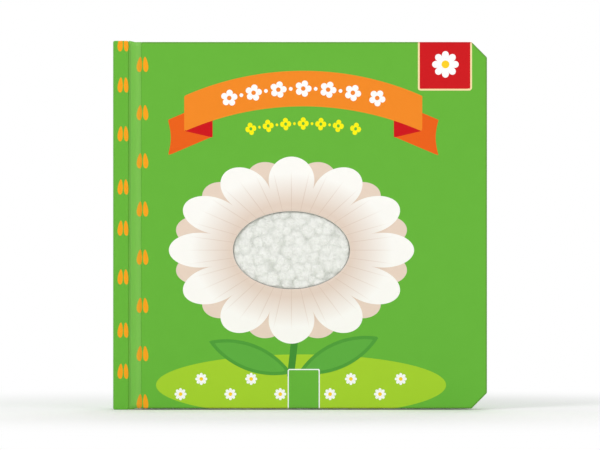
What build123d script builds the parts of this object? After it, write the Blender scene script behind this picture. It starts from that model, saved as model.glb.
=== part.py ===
from build123d import *
import os

os.makedirs("parts", exist_ok=True)

# A touch-and-feel board book in a hard case, closed and standing on its tail.
# X runs from the spine to the fore-edge, Y from the front cover to the back cover, Z from tail to head.
# The origin is the middle of the footprint. Lengths are in millimetres.

# Overall size
book_width = 180.0  # spine to fore-edge
board_height = 176.4  # cover boards, tail to head
spine_overhang = 0.6  # how far the spine stands beyond the boards at each end

# Leaves
leaf_count = 5
leaf_thickness = 2.4
page_margin = 2.5  # how far the boards stand out beyond the leaves
leaf_line_width = 0.2  # the line between two leaves
leaf_line_depth = 0.6
page_round = 2.0  # rounding of the leaves' corners

# Boards and paper
paper = 0.2  # printed paper round the boards
liner_paper = 0.2  # paper that lines the inside of a cover
board = 2.0  # greyboard of a cover
spine_board_thickness = 2.0
turn_in = 12.0  # how far the paper is folded in over a board's edge
liner_margin = 3.0  # how far the lining stays inside the cover's edge
corner_cut = 7.4  # leg of the 45 degree cut at the fore-edge corners
corner_round = 1.2  # rounding at the ends of that cut
edge_round = 0.5  # rolled edge of a cover, seen in section

# Spine, rolls and grooves
roll_width = 7.6  # spine edge to groove
spine_round = 1.6  # spine edge, seen in plan
roll_round = 1.0  # roll edge at the groove, seen in plan
end_round = 0.8  # head and tail of the spine, seen from the front
fold_room = 0.8  # what a groove has beyond two cover thicknesses, so a cover can fold flat
hinge_paper = 0.4  # printed paper and lining together in the groove
crease_clearance = 0.1  # between a hinge strip and the wall beside it

# Window and fleece
window_x = -4.1  # centre, from the middle of the book's width
window_up = 76.2  # centre, from the boards' tail
window_half_width = 28.1
window_half_height = 18.7
backing_margin = 7.0  # how far the fleece backing runs under the board
backing_thickness = 0.8
backing_clearance = 0.3
pile_clearance = 0.3  # between the pile and the window's edge
pile_drop = 0.6  # how far the pile lies below the cover's face
pile_bevel = 0.7  # eased edge of the pile

# Planes and edges that the pieces share
cover = paper + board + paper + liner_paper
half_pages = leaf_count * leaf_thickness / 2
half_book = half_pages + cover
spine_x = -book_width / 2
fore_x = book_width / 2
roll_x = spine_x + roll_width
board_x = roll_x + 2 * cover + fold_room
page_spine_x = spine_x + paper + spine_board_thickness
tail_z = spine_overhang
head_z = tail_z + board_height
spine_height = board_height + 2 * spine_overhang
page_tail_z = tail_z + page_margin
window_z = tail_z + window_up
crease_in_x = roll_x + crease_clearance + hinge_paper / 2
crease_out_x = board_x - crease_clearance - hinge_paper / 2


# Outline seen from the front, with both fore-edge corners cut at 45 degrees.
# An inset moves the tail, the head, the fore-edge and both cuts in by the same distance.
def cut_corner_outline(left, inset, rounding):
    fore = fore_x - inset
    tail = tail_z + inset
    head = head_z - inset
    cut = corner_cut - inset * (2 - 2**0.5)
    with BuildLine() as outline:
        Polyline(
            (left, tail),
            (fore - cut, tail),
            (fore, tail + cut),
            (fore, head - cut),
            (fore - cut, head),
            (left, head),
            close=True,
        )
    make_face(outline.edges())
    fillet(vertices().sort_by(Axis.X)[2:], rounding)


# Plan of the spine with its two rolls. An inset gives what lies under the paper.
def roll_outline(inset):
    with Locations(((spine_x + roll_x) / 2, 0)):
        Rectangle(roll_width - 2 * inset, 2 * (half_book - inset))
    fillet(vertices().group_by(Axis.X)[0], spine_round - inset)
    fillet(vertices().group_by(Axis.X)[-1], roll_round - inset)


# Plan of the gap between the rolls, where the leaves are glued to the spine.
def page_slot(inset):
    with Locations((page_spine_x + inset, 0)):
        Rectangle(
            roll_x - page_spine_x - inset,
            2 * (half_pages - inset),
            align=(Align.MIN, Align.CENTER),
        )


# Leaves: one block, glued along the spine, with the lines between leaves on its three open edges.
# The outer faces of the first and last leaf lie on the covers, and the lines part the rest.
with BuildPart() as page_block:
    with BuildSketch(Plane.XZ.offset(half_pages)):
        cut_corner_outline(page_spine_x, page_margin + leaf_line_depth, page_round)
    extrude(amount=-2 * half_pages)
    for leaf in range(leaf_count):
        front_gap = leaf_line_width / 2 if leaf > 0 else 0
        back_gap = leaf_line_width / 2 if leaf < leaf_count - 1 else 0
        with BuildSketch(Plane.XZ.offset(half_pages - leaf * leaf_thickness - front_gap)):
            cut_corner_outline(page_spine_x, page_margin, page_round)
        extrude(amount=front_gap + back_gap - leaf_thickness)

# What lies under the paper at the spine: the spine board and a strip under each roll.
with BuildPart() as spine_core:
    with BuildSketch(Plane.XY.offset(paper)):
        roll_outline(paper)
    extrude(amount=spine_height - 2 * paper)
    fillet(faces().filter_by(Axis.Z).edges(), end_round - paper)
    with BuildSketch(Plane.XY):
        page_slot(0)
    extrude(amount=spine_height, mode=Mode.SUBTRACT)

# Spine board: a flat board with rounded long edges.
with BuildPart() as spine_board:
    add(spine_core.part)
    split(bisect_by=Plane.YZ.offset(page_spine_x), keep=Keep.BOTTOM)

# Strip under the front roll.
with BuildPart() as front_binding_strip:
    add(spine_core.part)
    split(bisect_by=Plane.YZ.offset(page_spine_x), keep=Keep.TOP)
    split(bisect_by=Plane.XZ, keep=Keep.TOP)

# Strip under the back roll.
with BuildPart() as back_binding_strip:
    mirror(front_binding_strip.part, about=Plane.XZ)

# Paper round the spine: it covers both rolls and their walls, closes the ends and is turned in up to the leaves.
with BuildPart() as spine_wrap:
    with BuildSketch(Plane.XY):
        roll_outline(0)
    extrude(amount=spine_height)
    fillet(faces().filter_by(Axis.Z).edges(), end_round)
    with BuildSketch(Plane.XY):
        page_slot(paper)
    extrude(amount=spine_height, mode=Mode.SUBTRACT)
    with BuildSketch(Plane.XY.offset(page_tail_z)):
        page_slot(0)
    extrude(amount=spine_height - 2 * page_tail_z, mode=Mode.SUBTRACT)
    add(spine_core.part, mode=Mode.SUBTRACT)

# Hinge strips: paper pressed down into the grooves, with round edges about the two creases.
with BuildPart() as front_hinge:
    with BuildSketch(Plane.XY.offset(tail_z)):
        with Locations(((crease_in_x + crease_out_x) / 2, -half_pages - hinge_paper / 2)):
            SlotCenterToCenter(crease_out_x - crease_in_x, hinge_paper)
    extrude(amount=board_height)

with BuildPart() as back_hinge:
    mirror(front_hinge.part, about=Plane.XZ)

# A cover board before its window is cut, with its outer edges eased.
with BuildPart() as board_blank:
    with BuildSketch(Plane.XZ.offset(half_book - paper)):
        cut_corner_outline(board_x + paper, paper, corner_round - paper)
    extrude(amount=-board)
    fillet(faces().sort_by(Axis.Y)[0].edges(), edge_round - paper)

# The paper of a cover before the window is cut: face, edges and the turned-in border behind the board.
with BuildPart() as wrap_blank:
    with BuildSketch(Plane.XZ.offset(half_book)):
        cut_corner_outline(board_x, 0, corner_round)
    extrude(amount=liner_paper - cover)
    fillet(faces().sort_by(Axis.Y)[0].edges(), edge_round)
    add(board_blank.part, mode=Mode.SUBTRACT)
    with BuildSketch(Plane.XZ.offset(half_pages + liner_paper)):
        with Locations((board_x + paper, tail_z + turn_in)):
            Rectangle(
                fore_x - turn_in - board_x - paper,
                board_height - 2 * turn_in,
                align=(Align.MIN, Align.MIN),
            )
    extrude(amount=paper, mode=Mode.SUBTRACT)

# Front cover board: the oval window, and behind it a wider seat for the backing of the fleece.
with BuildPart() as front_board:
    add(board_blank.part)
    with BuildSketch(Plane.XZ.offset(half_book)):
        with Locations((window_x, window_z)):
            Ellipse(window_half_width, window_half_height)
    extrude(amount=-cover, mode=Mode.SUBTRACT)
    with BuildSketch(Plane.XZ.offset(half_book - paper - board)):
        with Locations((window_x, window_z)):
            Ellipse(
                window_half_width + backing_margin + backing_clearance,
                window_half_height + backing_margin + backing_clearance,
            )
    extrude(amount=backing_thickness, mode=Mode.SUBTRACT)

# Paper of the front cover, with the same oval cut through its face.
with BuildPart() as front_wrap:
    add(wrap_blank.part)
    with BuildSketch(Plane.XZ.offset(half_book)):
        with Locations((window_x, window_z)):
            Ellipse(window_half_width, window_half_height)
    extrude(amount=-paper, mode=Mode.SUBTRACT)

# Fleece: a flat backing glued into the seat, and the pile that fills the window.
with BuildPart() as fleece_patch:
    with BuildSketch(Plane.XZ.offset(half_book - paper - board)):
        with Locations((window_x, window_z)):
            Ellipse(
                window_half_width + backing_margin,
                window_half_height + backing_margin,
            )
    extrude(amount=backing_thickness)
    with BuildSketch(Plane.XZ.offset(half_book - paper - board)):
        with Locations((window_x, window_z)):
            Ellipse(
                window_half_width - pile_clearance,
                window_half_height - pile_clearance,
            )
    extrude(amount=paper + board - pile_drop)
    chamfer(faces().sort_by(Axis.Y)[0].edges(), pile_bevel)

# Lining of the front cover: flat where it faces the leaves, and thicker between the turned-in edges.
with BuildPart() as front_liner:
    with BuildSketch(Plane.XZ.offset(half_pages)):
        cut_corner_outline(board_x, liner_margin, page_round)
    extrude(amount=liner_paper)
    with BuildSketch(Plane.XZ.offset(half_pages + liner_paper)):
        with Locations((board_x + paper, tail_z + turn_in)):
            Rectangle(
                fore_x - turn_in - board_x - paper,
                board_height - 2 * turn_in,
                align=(Align.MIN, Align.MIN),
            )
    extrude(amount=paper)

# Back cover: board, paper and lining as on the front, without a window.
with BuildPart() as back_board:
    mirror(board_blank.part, about=Plane.XZ)

with BuildPart() as back_wrap:
    mirror(wrap_blank.part, about=Plane.XZ)

with BuildPart() as back_liner:
    mirror(front_liner.part, about=Plane.XZ)

page_block.part.label = "page_block"
export_step(page_block.part, "parts/page_block.step")

spine_board.part.label = "spine_board"
export_step(spine_board.part, "parts/spine_board.step")

front_binding_strip.part.label = "front_binding_strip"
export_step(front_binding_strip.part, "parts/front_binding_strip.step")

back_binding_strip.part.label = "back_binding_strip"
export_step(back_binding_strip.part, "parts/back_binding_strip.step")

spine_wrap.part.label = "spine_wrap"
export_step(spine_wrap.part, "parts/spine_wrap.step")

front_hinge.part.label = "front_hinge"
export_step(front_hinge.part, "parts/front_hinge.step")

back_hinge.part.label = "back_hinge"
export_step(back_hinge.part, "parts/back_hinge.step")

front_board.part.label = "front_board"
export_step(front_board.part, "parts/front_board.step")

front_wrap.part.label = "front_wrap"
export_step(front_wrap.part, "parts/front_wrap.step")

fleece_patch.part.label = "fleece_patch"
export_step(fleece_patch.part, "parts/fleece_patch.step")

front_liner.part.label = "front_liner"
export_step(front_liner.part, "parts/front_liner.step")

back_board.part.label = "back_board"
export_step(back_board.part, "parts/back_board.step")

back_wrap.part.label = "back_wrap"
export_step(back_wrap.part, "parts/back_wrap.step")

back_liner.part.label = "back_liner"
export_step(back_liner.part, "parts/back_liner.step")
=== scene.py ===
# %% [markdown]
# A touch-and-feel board book stands on its tail, seen straight from the front.
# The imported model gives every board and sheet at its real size. This script gives each surface
# its finish: the filmed paper with its print, the board leaves and the fleece in the window.
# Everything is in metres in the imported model's frame. Lengths that belong to the real book are
# written in millimetres and turned by one factor.

import math

import bpy
import numpy as np
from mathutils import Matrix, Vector


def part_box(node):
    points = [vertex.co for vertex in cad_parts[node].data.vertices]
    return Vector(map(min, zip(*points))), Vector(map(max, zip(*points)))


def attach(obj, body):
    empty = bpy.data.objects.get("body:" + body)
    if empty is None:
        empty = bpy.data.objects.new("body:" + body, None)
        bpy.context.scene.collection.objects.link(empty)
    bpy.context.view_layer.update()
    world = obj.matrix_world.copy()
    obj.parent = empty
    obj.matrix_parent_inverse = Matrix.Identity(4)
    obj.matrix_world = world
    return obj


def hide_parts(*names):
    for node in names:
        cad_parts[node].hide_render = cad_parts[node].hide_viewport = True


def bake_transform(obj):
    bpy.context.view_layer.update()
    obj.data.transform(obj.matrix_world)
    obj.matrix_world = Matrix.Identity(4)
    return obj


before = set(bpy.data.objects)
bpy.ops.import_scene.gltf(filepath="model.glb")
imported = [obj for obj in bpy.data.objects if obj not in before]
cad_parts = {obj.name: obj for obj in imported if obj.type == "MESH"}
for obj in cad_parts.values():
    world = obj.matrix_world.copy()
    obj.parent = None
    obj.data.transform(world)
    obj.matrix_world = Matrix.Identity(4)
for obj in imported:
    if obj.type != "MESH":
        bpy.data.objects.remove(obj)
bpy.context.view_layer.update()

MM = 0.001

# %% [markdown]
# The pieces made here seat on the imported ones, so their planes are read from the frame once:
# where the roll ends, where the cover board starts, and how deep the groove's floor lies.

# %% Planes read from the frame
cover_low, cover_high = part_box("front_wrap")
spine_low, spine_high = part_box("spine_wrap")

roll_edge = spine_high.x
board_edge = cover_low.x
face_y = cover_low.y
page_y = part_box("page_block")[0].y
fleece_back_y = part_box("fleece_patch")[1].y
tail_z = cover_low.z
head_z = cover_high.z
fore_x = cover_high.x
groove_size = (board_edge - roll_edge, page_y - face_y)
print("groove width and depth in mm", [round(size / MM, 2) for size in groove_size])


# %% [markdown]
# Colours are written as the hex values a designer would read off the print, in sRGB. Shaders work
# in linear light, so one function turns a hex value to linear.


# %% Colours
def linear(hex_colour):
    """sRGB hex to linear RGBA: each channel is divided by 255 and put through the sRGB curve."""
    channels = []
    for start in (1, 3, 5):
        value = int(hex_colour[start : start + 2], 16) / 255
        channels.append(value / 12.92 if value <= 0.04045 else ((value + 0.055) / 1.055) ** 2.4)
    return (*channels, 1.0)


print("mid grey in linear light", round(linear("#808080")[0], 3))


# %% [markdown]
# Every material is a small tree of nodes. One function adds a node: it takes the kind of node, its
# settings and what goes into each input, which is a value, another node or one of its outputs.
# A node that is given whole stands for its main output.

# %% One function for nodes
MATH = "ShaderNodeMath"
MIX = "ShaderNodeMix"
NOISE = "ShaderNodeTexNoise"
RANGE = "ShaderNodeMapRange"
COORDINATES = "ShaderNodeTexCoord"
BUMP = "ShaderNodeBump"
ATTRIBUTE = "ShaderNodeAttribute"
VECTOR_MATH = "ShaderNodeVectorMath"
MAIN_OUTPUTS = ("Result", "Fac", "Object")


def feed(tree, node, inputs):
    """Sets or links a node's inputs, which are given by name, or in their order as a list."""
    for key, value in inputs.items() if isinstance(inputs, dict) else enumerate(inputs):
        if isinstance(value, bpy.types.Node):
            main = next((name for name in MAIN_OUTPUTS if name in value.outputs), 0)
            value = value.outputs[main]
        if isinstance(value, bpy.types.NodeSocket):
            tree.links.new(value, node.inputs[key])
        else:
            node.inputs[key].default_value = value


def add_node(tree, kind, inputs=(), **settings):
    """Adds a node, sets its properties, then sets or links its inputs."""
    made = tree.nodes.new(kind)
    for name, value in settings.items():
        setattr(made, name, value)
    feed(tree, made, inputs)
    return made


def new_material(name, constants=()):
    """A material with its surface node ready and the surface's constants set, and its tree."""
    material = bpy.data.materials.new(name)
    material.use_nodes = True
    tree = material.node_tree
    tree.nodes.clear()
    surface = add_node(tree, "ShaderNodeBsdfPrincipled", constants)
    add_node(tree, "ShaderNodeOutputMaterial", [surface])
    return material, tree, surface


def finish_pieces(material, *pieces):
    """Gives pieces their finish. A piece is a new object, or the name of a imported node."""
    for piece in pieces:
        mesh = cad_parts[piece].data if isinstance(piece, str) else piece.data
        mesh.materials.clear()
        mesh.materials.append(material)
    print(material.name, "given to", len(pieces))


# %% [markdown]
# The camera stands level with the middle of the cover and looks straight at it, as in the
# photograph. The frame is 600 pixels wide and shows 288.8 mm at the cover's face, so one pixel is
# 0.4813 mm there. A long lens from 2.6 m keeps the spine's side out of sight.

# %% Camera
FRAME_WIDTH_PX = 600
MM_PER_PX = 0.4813
TAIL_PX = 409.7
MIDDLE_PX = (300.0, 225.0)
CAMERA_DISTANCE = 2.6

camera_data = bpy.data.cameras.new("camera")
camera = bpy.data.objects.new("camera", camera_data)
bpy.context.scene.collection.objects.link(camera)
camera_data.sensor_width = 36.0
camera_data.lens = camera_data.sensor_width * CAMERA_DISTANCE / (FRAME_WIDTH_PX * MM_PER_PX * MM)
camera_data.clip_end = 50.0
camera.location = (0.0, face_y - CAMERA_DISTANCE, (TAIL_PX - MIDDLE_PX[1]) * MM_PER_PX * MM)
camera.rotation_euler = (math.radians(90), 0.0, 0.0)
bpy.context.scene.camera = camera
print("lens", round(camera_data.lens, 1), "mm")

# %% [markdown]
# The photograph is lit evenly on a white ground. The world gives half of the light. Three large
# soft lamps round the book give the rest, a little more from the upper left, and a fourth hangs
# overhead and keeps the floor white. A surface that faces the camera then renders about as its
# colour is written. Rays that go straight from the camera see the world as full white.

# %% Lights and world
LAMP_AIM = Vector((0.0, 0.0, 0.09))
LAMPS = {
    "key_lamp": {"place": (-0.75, -1.1, 1.0), "size": 0.5, "watts": 6.9},
    "fill_lamp": {"place": (1.0, -1.2, 0.5), "size": 0.9, "watts": 4.4},
    "back_lamp": {"place": (0.2, 1.3, 1.1), "size": 0.9, "watts": 5.5},
    "top_lamp": {"place": (0.0, 0.1, 1.9), "size": 1.0, "watts": 5.0},
}
WORLD_LIGHT = 0.5
WHITE = (1.0, 1.0, 1.0, 1.0)

for name, lamp in LAMPS.items():
    data = bpy.data.lights.new(name, "AREA")
    data.shape = "SQUARE"
    data.size = lamp["size"]
    data.energy = lamp["watts"]
    hung = bpy.data.objects.new(name, data)
    bpy.context.scene.collection.objects.link(hung)
    hung.location = lamp["place"]
    hung.rotation_euler = (hung.location - LAMP_AIM).to_track_quat("Z", "Y").to_euler()

world = bpy.data.worlds.new("white_room")
bpy.context.scene.world = world
world.use_nodes = True
sky = world.node_tree
sky.nodes.clear()
ray = add_node(sky, "ShaderNodeLightPath").outputs
seen = ray["Is Camera Ray"]
for other in ("Is Glossy Ray", "Is Transmission Ray"):
    seen = add_node(sky, MATH, [seen, ray[other]], operation="MAXIMUM")
strength = add_node(sky, RANGE, {"Value": seen, "To Min": WORLD_LIGHT, "To Max": 1.0})
background = add_node(sky, "ShaderNodeBackground", [WHITE, strength])
add_node(sky, "ShaderNodeOutputWorld", [background])
bpy.context.scene.view_settings.view_transform = "Standard"
print("lamps", len(LAMPS), "with", sum(lamp["watts"] for lamp in LAMPS.values()), "watts")

# %% [markdown]
# The book stands on a pale floor that catches its soft shadow. Far from the book the floor turns
# as white as the room behind it, so that no horizon shows.

# %% Floor
FLOOR_HALF = 6.0
FADE_START = 0.12
FADE_END = 0.34
MATT_PAINT = {"Base Color": linear("#FCFCFC"), "Roughness": 0.9, "Specular IOR Level": 0.1}

floor_mesh = bpy.data.meshes.new("floor")
signs = [(-1, -1), (1, -1), (1, 1), (-1, 1)]
floor_mesh.from_pydata([(FLOOR_HALF * x, FLOOR_HALF * y, 0) for x, y in signs], [], [range(4)])
floor = bpy.data.objects.new("floor", floor_mesh)
bpy.context.scene.collection.objects.link(floor)

floor_paint, tree, surface = new_material("pale_floor_paint", MATT_PAINT)
distance = add_node(tree, VECTOR_MATH, [add_node(tree, COORDINATES)], operation="LENGTH").outputs["Value"]
fade = {"Value": distance, "From Min": FADE_START, "From Max": FADE_END}
far = add_node(tree, RANGE, fade, interpolation_type="SMOOTHSTEP")
ray = add_node(tree, "ShaderNodeLightPath").outputs
shown = add_node(tree, MATH, [ray["Is Camera Ray"], far], operation="MULTIPLY")
glow = add_node(tree, "ShaderNodeEmission", {"Color": WHITE, "Strength": 1.0})
joined = add_node(tree, "ShaderNodeMixShader", [shown, surface, glow])
feed(tree, tree.nodes["Material Output"], {"Surface": joined})
finish_pieces(floor_paint, floor)

# %% [markdown]
# The print repeats one mark down the spine side: a pair of orange drops, in a column on the roll
# and one over the groove and the cover's edge. The second is evenly spaced. The first repeats
# every third mark, so it is three even rows laid over each other. The pattern runs on over the
# whole sheet, so it is one group of nodes, used by every green paper. It is given a point's place
# on the sheet: x and z on the face, and the length of paper beyond an edge where it turns.
# At a height s between -1 and 1 a drop's half width is 1.2 mm * sqrt(1 - s*s) * (1 - 0.3 * s), so
# it is widest a little below its middle and narrow on top. Above there it leans to its twin.

# %% Drop marks along the spine
MARK_HALF_HEIGHT = 3.65
MARK_LOBE = 1.2
MARK_TAPER = 0.3
MARK_OUT = 1.53
MARK_LEAN = 0.3
MARK_WIDEST = -0.32
ROLL_ROWS = [(-85.05, 68.9, first_up) for first_up in (18.5, 38.3, 63.9)]
BOARD_ROW = (-75.75, 23.2, 3.8)
EDGE_BLUR = 0.05


def drop_row(tree, x, z, centre_x, pitch, first_up):
    """Mask of one even row: height is wrapped to one pitch, and x is folded about the pair's middle."""
    up = add_node(tree, MATH, [z, first_up], operation="SUBTRACT")
    local = add_node(tree, MATH, [up, pitch / 2, -pitch / 2], operation="WRAP")
    s = add_node(tree, MATH, [local, MARK_HALF_HEIGHT], operation="DIVIDE")
    squared = add_node(tree, MATH, [s, s], operation="MULTIPLY")
    under = add_node(tree, MATH, [1.0, squared], operation="SUBTRACT")
    arch = add_node(tree, MATH, [under], operation="SQRT")
    taper = add_node(tree, MATH, [s, -MARK_TAPER * MARK_LOBE, MARK_LOBE], operation="MULTIPLY_ADD")
    width = add_node(tree, MATH, [arch, taper], operation="MULTIPLY")
    across = add_node(tree, MATH, [x, centre_x], operation="SUBTRACT")
    across = add_node(tree, MATH, [across], operation="ABSOLUTE")
    above = add_node(tree, MATH, [s, MARK_WIDEST], operation="SUBTRACT")
    above = add_node(tree, MATH, [above, 0.0], operation="MAXIMUM")
    middle = add_node(tree, MATH, [above, -MARK_LEAN, MARK_OUT], operation="MULTIPLY_ADD")
    aside = add_node(tree, MATH, [across, middle], operation="SUBTRACT")
    aside = add_node(tree, MATH, [aside], operation="ABSOLUTE")
    inside = add_node(tree, MATH, [width, aside], operation="SUBTRACT")
    sharp = add_node(tree, RANGE, {"Value": inside, "From Min": -EDGE_BLUR, "From Max": EDGE_BLUR})
    in_reach = add_node(tree, MATH, [squared, 1.0], operation="LESS_THAN")
    return add_node(tree, MATH, [sharp, in_reach], operation="MULTIPLY")


def new_group(name, takes, gives):
    """A group of nodes with number sockets for what it takes and gives, and the outputs inside it."""
    group = bpy.data.node_groups.new(name, "ShaderNodeTree")
    for sockets, direction in ((takes, "INPUT"), (gives, "OUTPUT")):
        for socket in sockets:
            group.interface.new_socket(socket, in_out=direction, socket_type="NodeSocketFloat")
    return group, add_node(group, "NodeGroupInput").outputs


def make_drop_group():
    """A group that takes a place on the sheet in millimetres. It gives 1 on a drop and 0 elsewhere."""
    group, given = new_group("drop_marks", ("Sheet X", "Sheet Z"), ("Mark",))
    mark = 0.0
    for row in (*ROLL_ROWS, BOARD_ROW):
        found = drop_row(group, given["Sheet X"], given["Sheet Z"], *row)
        mark = add_node(group, MATH, [mark, found], operation="MAXIMUM")
    add_node(group, "NodeGroupOutput", [mark])
    return group


drop_group = make_drop_group()
print("drop marks", len(drop_group.nodes), "nodes")

# %% [markdown]
# Case paper is offset-printed art paper with a clear polypropylene film laminated on it. The ink
# gives a flat, full colour. The film gives a smooth satin sheen (IOR 1.49) with faint waves where
# the paper's fibres and the board's grey pulp press through: waves about 6 mm apart, and a fine
# grain about 0.5 mm across, drawn coarser than the real 0.1 mm so that it shows. The film is thin
# and half matt, so it mirrors less than solid plastic: its specular level is 0.2 instead of 0.5.
# Paper that turns in depth is longer than it looks from the front. Down the roll's wall the
# sheet's x runs ahead of the book's x by pi / 2 - 1 for each millimetre of depth, as on a quarter
# circle, and over the spine's head its z runs ahead by the depth. Deeper than 2.3 mm lie the inside
# and the back half, where no mark is printed, so the sheet's x is sent far off there.

# %% Filmed case paper
DROP_ORANGE = "#FBA412"
GREEN_LIGHT = "#68B738"
GREEN_DEEP = "#65B435"
# Painted light: a pale green haze laid over the groove's inks.
GROOVE_PAINTED_LIGHT = "#A3E273"
MARK_PAINTED_LIGHT_SHARE = 0.15
FILM_IOR = 1.49
FILM_ROUGHNESS = (0.31, 0.41)
FILM_SPECULAR = 0.2
WAVE_MM = 6.0
GRAIN_MM = 0.5
WAVE_HEIGHT = 0.012
GRAIN_HEIGHT = 0.004
MOTTLE_MM = 9.0
ROLL_ROUND = 1.0
HEAD_ROUND = 0.6
TURN_GAIN = math.pi / 2 - 1
PRINT_DEPTH = 2.3
FAR_OFF = 1000.0


def add_film(tree, surface, colour):
    """Film over a colour: a broad wave and a fine grain as bump, and roughness that varies a little."""
    place = add_node(tree, COORDINATES)
    wave = add_node(tree, NOISE, {"Vector": place, "Scale": 1 / (WAVE_MM * MM), "Detail": 2.0})
    grain = add_node(tree, NOISE, {"Vector": place, "Scale": 1 / (GRAIN_MM * MM), "Detail": 4.0})
    broad = add_node(tree, BUMP, {"Height": wave, "Distance": WAVE_HEIGHT * MM})
    fine = add_node(tree, BUMP, {"Height": grain, "Distance": GRAIN_HEIGHT * MM, "Normal": broad})
    low, high = FILM_ROUGHNESS
    rough = add_node(tree, RANGE, {"Value": wave, "To Min": low, "To Max": high})
    film = {"Base Color": colour, "Normal": fine, "Roughness": rough}
    feed(tree, surface, film | {"IOR": FILM_IOR, "Specular IOR Level": FILM_SPECULAR})


def layer_ink(tree, below, mask, ink):
    """Prints an ink over a colour where the mask is 1. Each of both is a node or a hex value."""
    below, ink = (linear(colour) if isinstance(colour, str) else colour for colour in (below, ink))
    return add_node(tree, MIX, {"Factor": mask, "A": below, "B": ink}, data_type="RGBA")


def green_ink(tree, sheet_x, sheet_z, painted_light=None):
    """The green ground with the slight mottle of an offset print, and the drop marks on it. Where painted
    light is given, it lies as a pale haze over both, and thinner over the marks."""
    place = add_node(tree, COORDINATES)
    mottle = add_node(tree, NOISE, {"Vector": place, "Scale": 1 / (MOTTLE_MM * MM), "Detail": 3.0})
    ground = layer_ink(tree, GREEN_DEEP, mottle, GREEN_LIGHT)
    orange = DROP_ORANGE
    if painted_light:
        ground = layer_ink(tree, ground, painted_light, GROOVE_PAINTED_LIGHT)
        mark_painted_light = add_node(tree, MATH, [painted_light, MARK_PAINTED_LIGHT_SHARE], operation="MULTIPLY")
        orange = layer_ink(tree, orange, mark_painted_light, GROOVE_PAINTED_LIGHT)
    marks = add_node(tree, "ShaderNodeGroup", [sheet_x, sheet_z], node_tree=drop_group)
    return layer_ink(tree, ground, marks, orange)


case_paper, tree, surface = new_material("filmed_case_paper")
to_mm = {0: add_node(tree, COORDINATES), "Scale": 1 / MM}
place = add_node(tree, VECTOR_MATH, to_mm, operation="SCALE")
x, y, z = add_node(tree, "ShaderNodeSeparateXYZ", [place]).outputs
depth = add_node(tree, MATH, [y, face_y / MM], operation="SUBTRACT")
by_wall = add_node(tree, MATH, [x, roll_edge / MM - ROLL_ROUND], operation="GREATER_THAN")
by_head = add_node(tree, MATH, [z, spine_high.z / MM - HEAD_ROUND], operation="GREATER_THAN")
ahead = add_node(tree, MATH, [depth, by_wall], operation="MULTIPLY")
sheet_x = add_node(tree, MATH, [ahead, TURN_GAIN, x], operation="MULTIPLY_ADD")
sheet_z = add_node(tree, MATH, [depth, by_head, z], operation="MULTIPLY_ADD")
hidden = add_node(tree, MATH, [depth, PRINT_DEPTH], operation="GREATER_THAN")
sheet_x = add_node(tree, MATH, [hidden, FAR_OFF, sheet_x], operation="MULTIPLY_ADD")
add_film(tree, surface, green_ink(tree, sheet_x, sheet_z))
finish_pieces(case_paper, "spine_wrap", "back_wrap")

# %% [markdown]
# The picture printed on the front cover is made of flat shapes with sharp edges. A large shape is
# a signed distance in millimetres: negative inside, zero on the edge. The distance is stored on
# the paper's mesh as an attribute, and the shader cuts it at zero, so an edge stays sharp between
# vertices. The functions below are the few shapes that the print needs.


# %% Distance functions for the print
def box_distance(x, z, low, high, rounding=0.0):
    """Distance to an upright rectangle with rounded corners: how far a point is beyond its sides."""
    dx = np.abs(x - (low[0] + high[0]) / 2) - (high[0] - low[0]) / 2 + rounding
    dz = np.abs(z - (low[1] + high[1]) / 2) - (high[1] - low[1]) / 2 + rounding
    outside = np.hypot(np.maximum(dx, 0), np.maximum(dz, 0))
    return outside + np.minimum(np.maximum(dx, dz), 0) - rounding


def ellipse_distance(x, z, centre, half):
    """Nearly the distance to an ellipse: the scaled radius less 1, over the length of its gradient."""
    from_x, from_z = x - centre[0], z - centre[1]
    scaled = np.hypot(from_x / half[0], from_z / half[1])
    slope = np.hypot(from_x / half[0] ** 2, from_z / half[1] ** 2)
    return scaled * (scaled - 1) / np.maximum(slope, 1e-6)


def leaf_distance(x, z, start, end, width):
    """A leaf is where two equal circles overlap. Both pass through the leaf's two tips."""
    length = math.hypot(end[0] - start[0], end[1] - start[1])
    way_x, way_z = (end[0] - start[0]) / length, (end[1] - start[1]) / length
    from_x, from_z = x - (start[0] + end[0]) / 2, z - (start[1] + end[1]) / 2
    along = from_x * way_x + from_z * way_z
    across = from_z * way_x - from_x * way_z
    radius = (length**2 / 4 + width**2 / 4) / width
    shift = radius - width / 2
    return np.maximum(np.hypot(along, across + shift), np.hypot(along, across - shift)) - radius


print("middle of a box 2 by 4 mm lies at", float(box_distance(0.0, 0.0, (-1, -2), (1, 2))), "mm")

# %% [markdown]
# Sizes and places of the printed shapes, in millimetres from the middle of the book's footprint:
# x to the fore-edge and z up. They are measured from the photograph at 0.4813 mm a pixel.
# The ribbon and the tag carry plain flowers. A daisy, drawn for this model, grows round the
# window, and its fluffy heart is the real fleece.

# %% Sizes of the printed shapes
WINDOW_CENTRE = (-4.1, 76.8)
WINDOW_HALF = (28.1, 18.7)
HILL_CENTRE = (0.5, 11.9)
HILL_HALF = (69.8, 14.7)
RIBBON_MIDDLE_X = 1.55
RIBBON_HALF_WIDTH = 57.3
RIBBON_TOP = 163.1
RIBBON_BOTTOM = 146.0
RIBBON_RADIUS = 142.0
TAIL_OUTER = 65.15
TAIL_INNER = 43.6
TAIL_LOW = 122.3
TAIL_SLOPE = 0.425
TAIL_DEPTH = 17.2
NOTCH = 1.4
FOLD_LOW = 131.0
FOLD_SLOPE = 0.233
FOLD_UNDER_BAND = 2.0
TAG_LOW = (56.75, 153.6)
TAG_HIGH = (82.8, 182.0)
TAG_ROUND = 1.2
TAG_LINE = 0.85
SQUARE_LOW = (-5.9, -4.0)
SQUARE_HIGH = (9.5, 19.6)
SQUARE_LINE = 0.5
PETAL_HALF = (59.0, 45.0)
STEM_HALF = 1.7
STEM_ENDS = (16.0, 60.0)
STEM_SWAY = 3.0
STEM_WAVE = (20.0, 26.0)
LEAF_WIDTH = 13.0
LEAF_RIM = 1.6
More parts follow.
